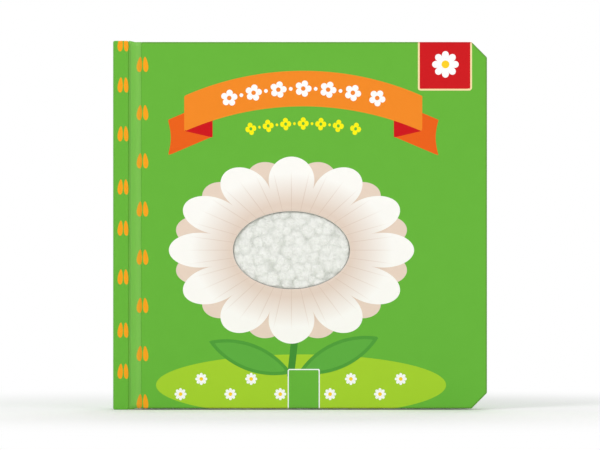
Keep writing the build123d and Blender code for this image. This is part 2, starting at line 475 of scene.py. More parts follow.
LEAF_TIPS = (((-4.0, 17.5), (-44.0, 33.0)), ((-1.0, 17.5), (38.0, 35.0)))


def ribbon_drop(x):
    """How far the ribbon's arc has dropped at x below its middle: radius - sqrt(radius^2 - dx^2)."""
    dx = np.minimum(np.abs(x - RIBBON_MIDDLE_X), RIBBON_RADIUS)
    return RIBBON_RADIUS - np.sqrt(RIBBON_RADIUS**2 - dx**2)


def print_layers(x, z):
    """The large printed shapes, from the ground up: name, ink and signed distance in millimetres."""
    side = np.abs(x - RIBBON_MIDDLE_X)
    lifted = z + ribbon_drop(x)
    hill = ellipse_distance(x, z, HILL_CENTRE, HILL_HALF)
    stem_x = WINDOW_CENTRE[0] + STEM_SWAY * np.sin((z - STEM_WAVE[0]) / STEM_WAVE[1])
    stem = np.maximum(np.abs(x - stem_x) - STEM_HALF, np.maximum(z - STEM_ENDS[1], STEM_ENDS[0] - z))
    leaves = np.minimum(*(leaf_distance(x, z, *tips, LEAF_WIDTH) for tips in LEAF_TIPS))
    square = box_distance(x, z, SQUARE_LOW, SQUARE_HIGH)
    tail_low = TAIL_LOW + (TAIL_OUTER - side) * TAIL_SLOPE
    middle = TAIL_LOW + TAIL_DEPTH / 2
    bow = np.cos(np.clip((z - middle) / (TAIL_DEPTH / 2), -1, 1) * math.pi / 2)
    tail = [tail_low - z, z - tail_low - TAIL_DEPTH, side - TAIL_OUTER + NOTCH * bow, TAIL_INNER - side]
    fold_line = FOLD_LOW + (side - TAIL_INNER) * FOLD_SLOPE
    beside = side - RIBBON_HALF_WIDTH
    fold = [fold_line - z, lifted - RIBBON_BOTTOM - FOLD_UNDER_BAND, beside, TAIL_INNER - side]
    band = [beside, RIBBON_BOTTOM - lifted, lifted - RIBBON_TOP]
    tag = box_distance(x, z, TAG_LOW, TAG_HIGH, TAG_ROUND)
    return [
        ("hill", "#A7D22A", hill),
        ("stem", "#3F8F2E", stem),
        ("leaves", "#4E9E35", leaves),
        ("leaf_light", "#5DAE3D", leaves + LEAF_RIM),
        ("square_line", "#FFFFFF", square),
        ("square_inside", "#67B537", square + SQUARE_LINE),
        ("ribbon_tails", "#EC6008", np.maximum.reduce(tail)),
        ("ribbon_folds", "#CE000C", np.maximum.reduce(fold)),
        ("ribbon_band", "#F58A1E", np.maximum.reduce(band)),
        ("tag_line", "#FBE2AA", tag),
        ("tag_inside", "#CF0812", tag + TAG_LINE),
    ]


# %% [markdown]
# Small printed flowers would be coarser than the mesh, so the shader draws them. In polar
# coordinates round a flower's middle, its edge lies at radius * (1 - depth * (1 - sqrt(w))), where
# w is |cos(petals * angle / 2)|: long at each petal's middle and pulled in between two petals.
# With depth 0 it is a round dot. The group repeats it along a line at an even pitch.


# %% A group that draws flowers
FLOWER_TAKES = ("Along", "Across", "Pitch", "Half Run", "Radius", "Petals", "Depth", "Turn", "Heart")


def make_flower_group():
    """A group that gives the masks of a row of flowers and of their hearts."""
    group, given = new_group("printed_flowers", FLOWER_TAKES, ("Flower", "Heart"))
    share = add_node(group, MATH, [given["Along"], given["Pitch"]], operation="DIVIDE")
    number = add_node(group, MATH, [share], operation="ROUND")
    centre = add_node(group, MATH, [number, given["Pitch"]], operation="MULTIPLY")
    local = add_node(group, MATH, [given["Along"], centre], operation="SUBTRACT")
    reach = add_node(group, MATH, [centre], operation="ABSOLUTE")
    in_run = add_node(group, MATH, [reach, given["Half Run"]], operation="LESS_THAN")
    angle = add_node(group, MATH, [given["Across"], local], operation="ARCTAN2")
    turned = add_node(group, MATH, [angle, given["Turn"]], operation="ADD")
    swing = add_node(group, MATH, [turned, given["Petals"]], operation="MULTIPLY")
    half = add_node(group, MATH, [swing, 0.5], operation="MULTIPLY")
    wave = half
    for operation in ("COSINE", "ABSOLUTE", "SQRT"):
        wave = add_node(group, MATH, [wave], operation=operation)
    dent = add_node(group, MATH, [1.0, wave], operation="SUBTRACT")
    dent = add_node(group, MATH, [dent, given["Depth"]], operation="MULTIPLY")
    edge = add_node(group, MATH, [1.0, dent], operation="SUBTRACT")
    edge = add_node(group, MATH, [edge, given["Radius"]], operation="MULTIPLY")
    flat = add_node(group, "ShaderNodeCombineXYZ", {"X": local, "Y": given["Across"]})
    radius = add_node(group, VECTOR_MATH, [flat], operation="LENGTH").outputs["Value"]
    drawn = []
    for outer in (edge, given["Heart"]):
        inside = add_node(group, MATH, [outer, radius], operation="SUBTRACT")
        sharp = add_node(group, RANGE, {"Value": inside, "From Min": -EDGE_BLUR, "From Max": EDGE_BLUR})
        drawn.append(add_node(group, MATH, [sharp, in_run], operation="MULTIPLY"))
    add_node(group, "NodeGroupOutput", drawn)
    return group


flower_group = make_flower_group()
print("printed flowers", len(flower_group.nodes), "nodes")

# %% [markdown]
# The cover's paper is one closed sheet 0.2 mm thick, laid round the board. It is a surface of two
# parameters: one runs round the book, along the outline with its cut corners, and the other runs
# from the window's edge over the face, round the rolled edge, down the side, in under the board
# and back on the underside. The outline is made at any inset, with as many points each time, so
# that the rings join point to point.

# %% The cover paper's outline
CORNER_CUT = 7.4
CORNER_ROUND = 1.2
LEFT_ROUND = 0.5
PAPER = 0.2
EDGE_ROUND = 0.5
STATION_MM = 0.85
ARC_POINTS = 6
LEAST_ROUND = 0.03
LEAST_STATIONS = 4


def outline(inset, left_inset):
    """Points round the cover in millimetres, seen from the front, anticlockwise from the lower left.
    Each corner is an arc that touches both its sides, and the sides are divided evenly."""
    left = board_edge / MM + left_inset
    right = fore_x / MM - inset
    low = tail_z / MM + inset
    high = head_z / MM - inset
    cut = CORNER_CUT - inset * (2 - math.sqrt(2))
    fore = [(right - cut, low), (right, low + cut), (right, high - cut), (right - cut, high)]
    corners = np.array([(left, low), *fore, (left, high)])
    rounds = [LEFT_ROUND - left_inset, *[CORNER_ROUND - inset] * len(fore), LEFT_ROUND - left_inset]
    arcs = []
    for i, corner in enumerate(corners):
        before = corners[i - 1] - corner
        after = corners[(i + 1) % len(corners)] - corner
        before /= np.linalg.norm(before)
        after /= np.linalg.norm(after)
        half_angle = math.acos(float(np.clip(before @ after, -1, 1))) / 2
        radius = max(rounds[i], LEAST_ROUND)
        middle = before + after
        middle /= np.linalg.norm(middle)
        centre = corner + middle * radius / math.sin(half_angle)
        start = corner + before * radius / math.tan(half_angle) - centre
        end = corner + after * radius / math.tan(half_angle) - centre
        first = math.atan2(start[1], start[0])
        sweep = (math.atan2(end[1], end[0]) - first + math.pi) % (2 * math.pi) - math.pi
        angles = first + sweep * np.linspace(0, 1, ARC_POINTS)
        arcs.append(centre + radius * np.stack([np.cos(angles), np.sin(angles)], 1))
    points = []
    for i, arc in enumerate(arcs):
        following = arcs[(i + 1) % len(arcs)]
        points.append(arc)
        share = np.linspace(0, 1, SIDE_COUNTS[i] + 1)[1:-1, None]
        points.append(arc[-1] + share * (following[0] - arc[-1]))
    return np.concatenate(points)


across_mm = (fore_x - board_edge) / MM - CORNER_CUT
height_mm = (head_z - tail_z) / MM
cut_mm = CORNER_CUT * math.sqrt(2)
side_lengths = [across_mm, cut_mm, height_mm - 2 * CORNER_CUT, cut_mm, across_mm, height_mm]
SIDE_COUNTS = [max(LEAST_STATIONS, round(length / STATION_MM)) for length in side_lengths]
print("stations round the cover", len(outline(0.0, 0.0)))

# %% [markdown]
# The rings are stacked into one grid. On the face they go from the oval to the outline along
# straight lines. Round the edge the inset and the depth follow a quarter circle. The groove side
# has no turned-in edge, because the paper goes on into the groove there.

# %% The cover paper
FACE_ROWS = 80
TURN_IN = 12.0
BACK_ROUND = 0.12
RIM_ROUND = 0.22
ROUND_RINGS = 6
INNER_BEND = 0.3
HAIR = 0.02
CORE_RINGS = 2


def ring_grid(rings):
    """Joins closed rings of equal length into a mesh: a quad between each two stations and rings."""
    rows = np.stack(rings)
    count, stations = rows.shape[:2]
    index = np.arange(count * stations).reshape(count, stations)
    following = np.roll(index, -1, axis=1)
    upper = np.roll(index, -1, axis=0)
    upper_following = np.roll(following, -1, axis=0)
    quads = np.stack([index, following, upper_following, upper], -1).reshape(-1, 4)
    return rows.reshape(-1, 3), quads


def enclosed_volume(points, quads):
    """Volume inside closed quads: a sixth of the summed triple products, positive if they face out."""
    a, b, c, d = (points[quads[:, i]] for i in range(4))
    return float((np.cross(a, b) * c).sum() + (np.cross(a, c) * d).sum()) / 6


def new_piece(name, points, quads):
    """A smooth mesh object at the origin, from points in millimetres and quads, turned outwards."""
    if enclosed_volume(points, quads) < 0:
        quads = quads[:, ::-1]
    mesh = bpy.data.meshes.new(name)
    mesh.vertices.add(len(points))
    mesh.vertices.foreach_set("co", np.ascontiguousarray(points * MM, np.float32).ravel())
    mesh.loops.add(quads.size)
    mesh.loops.foreach_set("vertex_index", np.ascontiguousarray(quads, np.int32).ravel())
    mesh.polygons.add(len(quads))
    mesh.polygons.foreach_set("loop_start", np.arange(0, quads.size, 4, dtype=np.int32))
    mesh.update(calc_edges=True)
    mesh.polygons.foreach_set("use_smooth", np.full(len(mesh.polygons), True))
    made = bpy.data.objects.new(name, mesh)
    bpy.context.scene.collection.objects.link(made)
    print(name, len(mesh.vertices), "points", len(mesh.polygons), "faces")
    return made


def store(piece, name, values):
    """Keeps one number for each point of a piece, for its material to read."""
    attribute = piece.data.attributes.new(name, "FLOAT", "POINT")
    attribute.data.foreach_set("value", np.ascontiguousarray(values, np.float32).ravel())


def cover_rings():
    """Rings of (x, y, z) in millimetres, from the window's rim round the sheet and back to it, and
    their (x, z) on the flat sheet: beyond the face, the outline grown by the paper's length. After
    the face, a step is the inset, the inset at the groove, the depth and that length."""
    thickness = (cover_high.y - cover_low.y) / MM
    face = face_y / MM
    flat = outline(EDGE_ROUND, EDGE_ROUND)
    scaled = (flat - WINDOW_CENTRE) / WINDOW_HALF
    angle = np.arctan2(scaled[:, 1], scaled[:, 0])
    direction = np.stack([np.cos(angle), np.sin(angle)], 1)

    def level(points, depth):
        return np.stack([points[:, 0], np.full(len(points), face + depth), points[:, 1]], 1)

    def oval(extra):
        return WINDOW_CENTRE + direction * (np.array(WINDOW_HALF) + extra)

    start = oval(RIM_ROUND)
    on_face = [start + share * (flat - start) for share in np.linspace(0, 1, FACE_ROWS)]
    on_sheet = [oval(0), oval(0), *on_face]
    depths = [PAPER, RIM_ROUND, *[0.0] * FACE_ROWS]
    rings = [level(ring, depth) for ring, depth in zip(on_sheet, depths)]

    side = EDGE_ROUND * TURN_GAIN + thickness
    steps = []
    for turn in np.linspace(0, math.pi / 2, ROUND_RINGS + 1)[1:]:
        inset = EDGE_ROUND * (1 - math.sin(turn))
        steps.append((inset, inset, EDGE_ROUND * (1 - math.cos(turn)), EDGE_ROUND * turn))
    near = BACK_ROUND * 0.3
    steps += [
        (0, 0, thickness - BACK_ROUND, side - BACK_ROUND),
        (near, near, thickness - near, side),
        (BACK_ROUND, BACK_ROUND, thickness, side + BACK_ROUND),
        (TURN_IN, PAPER, thickness, side + TURN_IN),
        (TURN_IN, PAPER + HAIR, thickness - PAPER, side + TURN_IN),
        (PAPER, PAPER, thickness - PAPER, side + PAPER),
        (PAPER, PAPER, PAPER + INNER_BEND, side),
        (PAPER + INNER_BEND, PAPER + INNER_BEND, PAPER, side),
    ]
    for inset, left_inset, depth, length in steps:
        rings.append(level(outline(inset, left_inset), depth))
        on_sheet.append(outline(EDGE_ROUND - length, left_inset))
    return rings, np.concatenate(on_sheet)


def from_free_edges(sheet):
    """Distance in millimetres inside the cover's three free edges and its cut corners."""
    right = fore_x / MM - sheet[:, 0]
    low, high = sheet[:, 1] - tail_z / MM, head_z / MM - sheet[:, 1]
    corner = (right + np.minimum(low, high) - CORNER_CUT) / math.sqrt(2)
    return np.minimum.reduce([right, low, high, corner])


rings, on_sheet = cover_rings()
front_paper = new_piece("front_cover_paper", *ring_grid(rings))
store(front_paper, "sheet_x", on_sheet[:, 0])
store(front_paper, "sheet_z", on_sheet[:, 1])
store(front_paper, "from_edge", from_free_edges(on_sheet))
store(front_paper, "paper_core", np.arange(len(on_sheet)) < CORE_RINGS * len(rings[0]))
layers = print_layers(*on_sheet.T)
for name, _, distance in layers:
    store(front_paper, name, distance)
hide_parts("front_wrap")
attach(front_paper, "front_cover")

# %% [markdown]
# The inks go on from the ground up, as a printer's layers would: the hill with its small flowers,
# the stem, its leaves and the framed square, the daisy's beige and white petals, and the ribbon and
# tag on top.
# Petals are tinted towards the window and carry three fine veins each. Along the free edges a thin darker
# line is painted shade, where the rounded edge turns away from the light, and the die-cut edge of the
# window shows the paper's white core.

# %% Inks of the front cover
WHITE_INK = "#FFFFFF"
YELLOW = "#FFD21F"
ALONE = {"Pitch": FAR_OFF, "Half Run": 1.0}
HILL_FLOWERS = {"Radius": 2.9, "Petals": 8, "Depth": 0.45, "Heart": 0.9, "Pitch": 24.0, "Half Run": 50.0}
HILL_FLOWERS_AT = ((-9.5, 7.5), (0.5, 14.8))


def print_flowers(tree, below, along, across, sizes, ink, heart_ink=None):
    """Prints flowers over a colour, with their hearts if these have an ink."""
    sizes = {"Along": along, "Across": across} | sizes
    drawn = add_node(tree, "ShaderNodeGroup", sizes, node_tree=flower_group)
    colour = layer_ink(tree, below, drawn.outputs["Flower"], ink)
    if heart_ink:
        colour = layer_ink(tree, colour, drawn.outputs["Heart"], heart_ink)
    return colour


def print_flowers_at(tree, below, sheet, place, sizes):
    """Prints white flowers with yellow hearts round a place on the sheet."""
    offsets = [add_node(tree, MATH, pair, operation="SUBTRACT") for pair in zip(sheet, place)]
    return print_flowers(tree, below, *offsets, sizes, WHITE_INK, YELLOW)


def print_shapes(tree, below, layers):
    """Prints the stored shapes over a colour, one after the other."""
    for name, ink, _ in layers:
        stored = add_node(tree, ATTRIBUTE, attribute_name=name)
        inside = add_node(tree, RANGE, {"Value": stored, "From Min": EDGE_BLUR, "From Max": -EDGE_BLUR})
        below = layer_ink(tree, below, inside, ink)
    return below


printed_paper, tree, surface = new_material("printed_case_paper")
x = add_node(tree, ATTRIBUTE, attribute_name="sheet_x")
z = add_node(tree, ATTRIBUTE, attribute_name="sheet_z")
hill, stem_to_square, ribbon_and_tag = layers[:1], layers[1:6], layers[6:]
colour = print_shapes(tree, green_ink(tree, x, z), hill)
for place in HILL_FLOWERS_AT:
    colour = print_flowers_at(tree, colour, (x, z), place, HILL_FLOWERS)
colour = print_shapes(tree, colour, stem_to_square)
print("hill, stem, leaves and square", len(tree.nodes), "nodes")

# %% The daisy
PETAL_RADIUS = 52.0
PETALS = 12
FRONT_PETALS = {"Radius": PETAL_RADIUS, "Petals": PETALS, "Depth": 0.34} | ALONE
BACK_PETALS = FRONT_PETALS | {"Radius": PETAL_RADIUS * 0.97, "Turn": math.pi / PETALS}
VEINS_PER_PETAL = 3
TINT = {"From Min": 0.5, "From Max": 0.82}
VEIN = {"From Min": 0.05, "From Max": 0.12, "To Min": 0.45, "To Max": 0.0}
VEIN_FADE = {"From Min": 0.6, "From Max": 0.86, "To Min": 1.0, "To Max": 0.0}

stretched = []
for place, middle, half in zip((x, z), WINDOW_CENTRE, PETAL_HALF):
    scale = PETAL_RADIUS / half
    stretched.append(add_node(tree, MATH, [place, scale, -middle * scale], operation="MULTIPLY_ADD"))
along, across = stretched
flat = add_node(tree, "ShaderNodeCombineXYZ", stretched)
radius = add_node(tree, VECTOR_MATH, [flat], operation="LENGTH").outputs["Value"]
share = add_node(tree, MATH, [radius, PETAL_RADIUS], operation="DIVIDE")
inner = add_node(tree, RANGE, {"Value": share} | TINT)
angle = add_node(tree, MATH, [across, along], operation="ARCTAN2")
veins = add_node(tree, MATH, [angle, PETALS * VEINS_PER_PETAL / 2], operation="MULTIPLY")
for operation in ("SINE", "ABSOLUTE"):
    veins = add_node(tree, MATH, [veins], operation=operation)
veins = add_node(tree, RANGE, {"Value": veins} | VEIN)
fade = add_node(tree, RANGE, {"Value": share} | VEIN_FADE)
veins = add_node(tree, MATH, [veins, fade], operation="MULTIPLY")
beige = layer_ink(tree, "#C9AC97", inner, "#EBD6C4")
white = layer_ink(tree, "#E6D3C4", inner, "#FFFDF8")
white = layer_ink(tree, white, veins, "#CDB19B")
colour = print_flowers(tree, colour, along, across, BACK_PETALS, beige)
colour = print_flowers(tree, colour, along, across, FRONT_PETALS, white)
print("with the daisy", len(tree.nodes), "nodes")

# %% The ribbon and the tag
RIBBON_FLOWERS = {"Radius": 4.0, "Petals": 5, "Depth": 0.5, "Heart": 1.1, "Pitch": 12.0, "Half Run": 37.0}
RIBBON_DOTS = {"Radius": 0.9, "Petals": 2, "Pitch": 12.0, "Half Run": 31.0}
LOWER_FLOWERS = {"Radius": 3.0, "Petals": 4, "Depth": 0.55, "Heart": 0.8, "Pitch": 9.6, "Half Run": 29.0}
LOWER_DOTS = {"Radius": 0.7, "Petals": 2, "Pitch": 9.6, "Half Run": 25.0}
LOWER_ROW_DOWN = 16.8
TAG_DAISY = {"Radius": 6.4, "Petals": 8, "Depth": 0.4, "Heart": 1.9} | ALONE
TAG_DAISY_AT = (70.0, 166.2)

colour = print_shapes(tree, colour, ribbon_and_tag)
from_middle = add_node(tree, MATH, [x, RIBBON_MIDDLE_X], operation="SUBTRACT")
arc_centre = (RIBBON_TOP + RIBBON_BOTTOM) / 2 - RIBBON_RADIUS
from_centre = add_node(tree, MATH, [z, arc_centre], operation="SUBTRACT")
lean = add_node(tree, MATH, [from_middle, from_centre], operation="ARCTAN2")
along = add_node(tree, MATH, [lean, RIBBON_RADIUS], operation="MULTIPLY")
flat = add_node(tree, "ShaderNodeCombineXYZ", [from_middle, from_centre])
out = add_node(tree, VECTOR_MATH, [flat], operation="LENGTH").outputs["Value"]
across = add_node(tree, MATH, [out, RIBBON_RADIUS], operation="SUBTRACT")
for down, flowers, dots, ink, heart_ink in (
    (0.0, RIBBON_FLOWERS, RIBBON_DOTS, WHITE_INK, "#F6862A"),
    (LOWER_ROW_DOWN, LOWER_FLOWERS, LOWER_DOTS, "#FFF400", "#67B537"),
):
    up = add_node(tree, MATH, [across, down], operation="ADD")
    between = add_node(tree, MATH, [along, flowers["Pitch"] / 2], operation="ADD")
    colour = print_flowers(tree, colour, along, up, flowers, ink, heart_ink)
    colour = print_flowers(tree, colour, between, up, dots, ink)
colour = print_flowers_at(tree, colour, (x, z), TAG_DAISY_AT, TAG_DAISY)
print("with the ribbon and the tag", len(tree.nodes), "nodes")

# %% Painted shade along the free edges, and the paper's core
EDGE_LINE_SHADE_RANGE = {"From Min": 0.3, "From Max": 0.9, "To Min": 1.0, "To Max": 0.0}
EDGE_LINE_SHADE_TINT = "#E9D6DE"
PAPER_CORE = "#F3F1EA"

from_edge = add_node(tree, ATTRIBUTE, attribute_name="from_edge")
from_edge = add_node(tree, MATH, [from_edge], operation="ABSOLUTE")
# Painted shade: a thin darker line along the cover's free edges, where the rounded edge turns from the
# light.
edge_line_shade = add_node(tree, RANGE, {"Value": from_edge} | EDGE_LINE_SHADE_RANGE)
shaded = {"Factor": edge_line_shade, "A": colour, "B": linear(EDGE_LINE_SHADE_TINT)}
colour = add_node(tree, MIX, shaded, data_type="RGBA", blend_type="MULTIPLY")
core = add_node(tree, ATTRIBUTE, attribute_name="paper_core")
add_film(tree, surface, layer_ink(tree, colour, core, PAPER_CORE))
finish_pieces(printed_paper, front_paper)
print("the whole print", len(tree.nodes), "nodes")

# %% [markdown]
# In the groove the case paper and the lining are glued together and pressed down between the roll
# and the board, so that the cover can turn. The face comes down the roll's wall in a small curve
# and rises towards the board like rise * (u / width)^3, where u is the distance from the wall.
# Over the groove a pale haze of painted light lies on all inks, most beside the roll, where it lifts the
# shade at the groove's foot, and beside the board, where the rising slope is lit. The sheet's x at the
# foot runs ahead of the book's by what the roll's wall took.
# Each groove is two strips that meet in its middle: one beside the roll and the other beside the board. A
# strip is two skins joined round their borders.

# %% Groove papers
HINGE_PAPER = 0.4
FOOT_ROUND = 0.5
RISE = 1.1
PAINTED_LIGHT_AT = (0.0, 1.0, 1.8, 4.6)
PAINTED_LIGHT_SHARE = (0.42, 0.36, 0.25, 0.38)
IRON_WAVE_HEIGHT = 0.03
IRON_WAVES = (5.9, 2.3)
END_SLOPE = 3.6
LINER_MARGIN = 3.0
PAPER_AHEAD = 1.26
GROOVE_COLUMNS = 25
GROOVE_ROWS = 90
roll_mm, board_mm = roll_edge / MM, board_edge / MM


def two_skins(outer, inner):
    """Joins two grids of equal size round their borders into one closed sheet."""
    index = np.arange(outer.shape[0] * outer.shape[1]).reshape(outer.shape[:2])
    cells = np.stack([index[:-1, :-1], index[:-1, 1:], index[1:, 1:], index[1:, :-1]], -1).reshape(-1, 4)
    border = np.concatenate([index[0, :-1], index[:-1, -1], index[-1, :0:-1], index[:0:-1, 0]])
    following = np.roll(border, -1)
    far = index.size
    rim = np.stack([following, border, border + far, following + far], -1)
    points = np.concatenate([outer.reshape(-1, 3), inner.reshape(-1, 3)])
    return points, np.concatenate([cells, cells[:, ::-1] + far, rim])


def groove_strip(name, side, from_x, to_x):
    """A strip of groove paper. Its height over the floor is the cubic rise, the foot curve by the
    roll and the faint waves that the pressing iron leaves. At head and tail it slopes from the
    spine's length to the board's."""
    columns = np.linspace(from_x, to_x, GROOVE_COLUMNS)
    share, x = np.meshgrid(np.linspace(-1, 1, GROOVE_ROWS), columns, indexing="ij")
    u = x - roll_mm
    across = u / (board_mm - roll_mm)
    middle_z, half_z = (tail_z + head_z) / 2 / MM, (head_z - tail_z) / 2 / MM
    slope = np.clip(u / END_SLOPE, 0, 1)
    overhang = (tail_z - spine_low.z) / MM * (1 - slope * slope * (3 - 2 * slope))
    z = middle_z + share * (half_z + overhang)
    foot = FOOT_ROUND * (1 - np.sqrt(1 - np.clip(1 - u / FOOT_ROUND, 0, 1) ** 2))
    waves = np.sin(z / IRON_WAVES[0] + 1.0) * np.sin(z / IRON_WAVES[1]) * np.sin(np.pi * across) ** 2
    height = HINGE_PAPER + RISE * across**3 + foot + IRON_WAVE_HEIGHT * waves
    floor_y = np.full(x.shape, side * abs(page_y) / MM)
    outer = np.stack([x, floor_y + side * height, z], -1)
    inner = np.stack([x, floor_y, z], -1)
    strip = new_piece(name, *two_skins(outer, inner))
    unprinted = np.full(x.shape, FAR_OFF)
    printed = x + PAPER_AHEAD * (1 - across) ** 2 if side < 0 else unprinted
    # Painted light: how much pale haze lies on the groove's inks across its width.
    groove_light_share = np.interp(u, PAINTED_LIGHT_AT, PAINTED_LIGHT_SHARE)
    to_turn_in = half_z - LINER_MARGIN - np.abs(z - middle_z)
    store(strip, "sheet_x", np.stack([printed, unprinted]))
    store(strip, "sheet_z", np.stack([z, z]))
    store(strip, "lining", np.stack([np.full(x.shape, -LINER_MARGIN), to_turn_in]))
    store(strip, "groove_light_share", np.stack([groove_light_share, groove_light_share]))
    return strip


middle_x = (roll_mm + board_mm) / 2
groove_strips = []
for label, side in (("front", -1), ("back", 1)):
    by_roll = groove_strip(f"{label}_groove_paper_by_roll", side, roll_mm, middle_x)
    by_board = groove_strip(f"{label}_groove_paper_by_board", side, middle_x, board_mm)
    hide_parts(f"{label}_hinge")
    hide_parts(f"{label}_hinge")
    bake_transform(by_roll)
    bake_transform(by_board)
    groove_strips += [by_roll, by_board]

# %% [markdown]
# The lining is smooth white art paper, with the same film inside the covers, so that little
# fingers can't wear it. In the groove it is the strip's inner skin, up to 3 mm from head and tail,
# where the green paper is turned in as it is round the covers.

# %% Lining and groove finish
LINING_WHITE = "#F5F4EF"
CLOUD_MM = 14.0
lining_paper, tree, surface = new_material("filmed_lining_paper")
place = add_node(tree, COORDINATES)
cloud = add_node(tree, NOISE, {"Vector": place, "Scale": 1 / (CLOUD_MM * MM), "Detail": 3.0})
add_film(tree, surface, layer_ink(tree, LINING_WHITE, cloud, "#F0EFE9"))
finish_pieces(lining_paper, "front_liner", "back_liner")

groove_paper, tree, surface = new_material("groove_paper_with_painted_light")
stored = ("lining", "sheet_x", "sheet_z", "groove_light_share")
lining, x, z, groove_light_share = (add_node(tree, ATTRIBUTE, attribute_name=name) for name in stored)
inside = add_node(tree, MATH, [lining, 0.0], operation="GREATER_THAN")
# The groove's green carries painted light.
green = green_ink(tree, x, z, groove_light_share)
add_film(tree, surface, layer_ink(tree, green, inside, LINING_WHITE))
finish_pieces(groove_paper, *groove_strips)

# %% [markdown]
# The fleece is a warp-knitted polyester cloth with a long pile that is tumbled into lumps, sold as
# sherpa fleece. An oval of it is glued behind the board, and its pile stands in the window
# a little below the cover's face. The lumps are cells round jittered middles, in two sizes: tufts
# about 5 mm wide, and small ones of 2.4 mm on them. With F1 and F2 the distances to the nearest
# two middles, a lump falls with F1 squared and sinks where F2 - F1 nears 0, by
# exp(-((F2 - F1) / softness)^2). Fine curls ride on the lumps as ridges.

# %% The pile's height
BACKING_HALF = (35.1, 25.7)
BACKING_THICKNESS = 0.8
PILE_CLEARANCE = 0.12
TUFTED_HALF = (32, 25)
TUFT_MM = 5.0
SMALL_TUFT_MM = 2.4
SOFTNESS = 0.6
SMALL_SOFTNESS = 0.55
JITTER = 0.33
BENDS = ((0.45, 6.0, 1), (0.16, 1.8, 5))
CLEFT_DEPTH, TUFT_FALL, TUFT_RISE = 0.26, 0.26, 0.2
SMALL_CLEFT_DEPTH, SMALL_TUFT_FALL, SMALL_TUFT_RISE = 0.08, 0.05, 0.06
CURL_DEPTH = 0.13
PILE_TOP = 0.36
PILE_LOWEST = 1.32
PILE_EDGE_ROUND = 2.4
EDGE_DEPTH = 0.45
EDGE_SHADE = 0.35
MORE_AT_TOP = 0.2
CLEFT_SHADE, FLANK_SHADE, SMALL_CLEFT_SHADE = 0.2, 0.55, 0.1
DEPTH_SHADE = 0.35
UNSHADED_DEPTH = 0.8
pile_half = (WINDOW_HALF[0] - PILE_CLEARANCE, WINDOW_HALF[1] - PILE_CLEARANCE)
backing_y = fleece_back_y / MM
face_mm = face_y / MM


def ripple(x, z, wavelength, seed, waves=12):
    """A sum of sine waves of about one length in random directions, scaled to about -1 to 1."""
    dice = np.random.default_rng(seed)
    total = np.zeros(x.shape)
    for angle, phase, stretch in dice.uniform(0, 1, (waves, 3)):
        turn = 2 * np.pi * angle
        number = 2 * np.pi / (wavelength * (0.7 + 0.6 * stretch))
        total += np.sin(number * (x * np.cos(turn) + z * np.sin(turn)) + 2 * np.pi * phase)
    return total / math.sqrt(waves)


def tuft_middles(pitch, seed):
    """Middles of tufts on a hexagonal grid over the oval, each moved by up to 0.33 of the pitch,
    with a radius and a height for each."""
    dice = np.random.default_rng(seed)
    steps = [math.ceil(half / pitch) for half in TUFTED_HALF]
    across, up = (np.arange(-count, count + 1) * pitch for count in steps)
    x, z = np.meshgrid(across, up * math.sqrt(3) / 2)
    x = x + (np.arange(len(up)) % 2)[:, None] * pitch / 2
    moved = dice.uniform(-JITTER, JITTER, (x.size, 2)) * pitch
    radii = dice.uniform(0.75, 1.3, x.size) * pitch / 2
    heights = dice.uniform(0, 1, x.size)
    return np.stack([x.ravel(), z.ravel()], 1) + moved + WINDOW_CENTRE, radii, heights


def tuft_cells(x, z, tufts, softness):
    """For each point: the distance to its tuft's middle in tuft radii, how near it is to a cleft,
    and its tuft's height."""
    middles, radii, heights = tufts
    reach = np.hypot(x.reshape(-1, 1) - middles[:, 0], z.reshape(-1, 1) - middles[:, 1]) / radii
    owner = reach.argmin(axis=1)
    two = np.partition(reach, 1, axis=1)
    first, second = two[:, 0].reshape(x.shape), two[:, 1].reshape(x.shape)
    return first, np.exp(-(((second - first) / softness) ** 2)), heights[owner].reshape(x.shape)


large_tufts = tuft_middles(TUFT_MM, 7)
small_tufts = tuft_middles(SMALL_TUFT_MM, 8)
print("tufts", len(large_tufts[0]), "and", len(small_tufts[0]), "small ones")


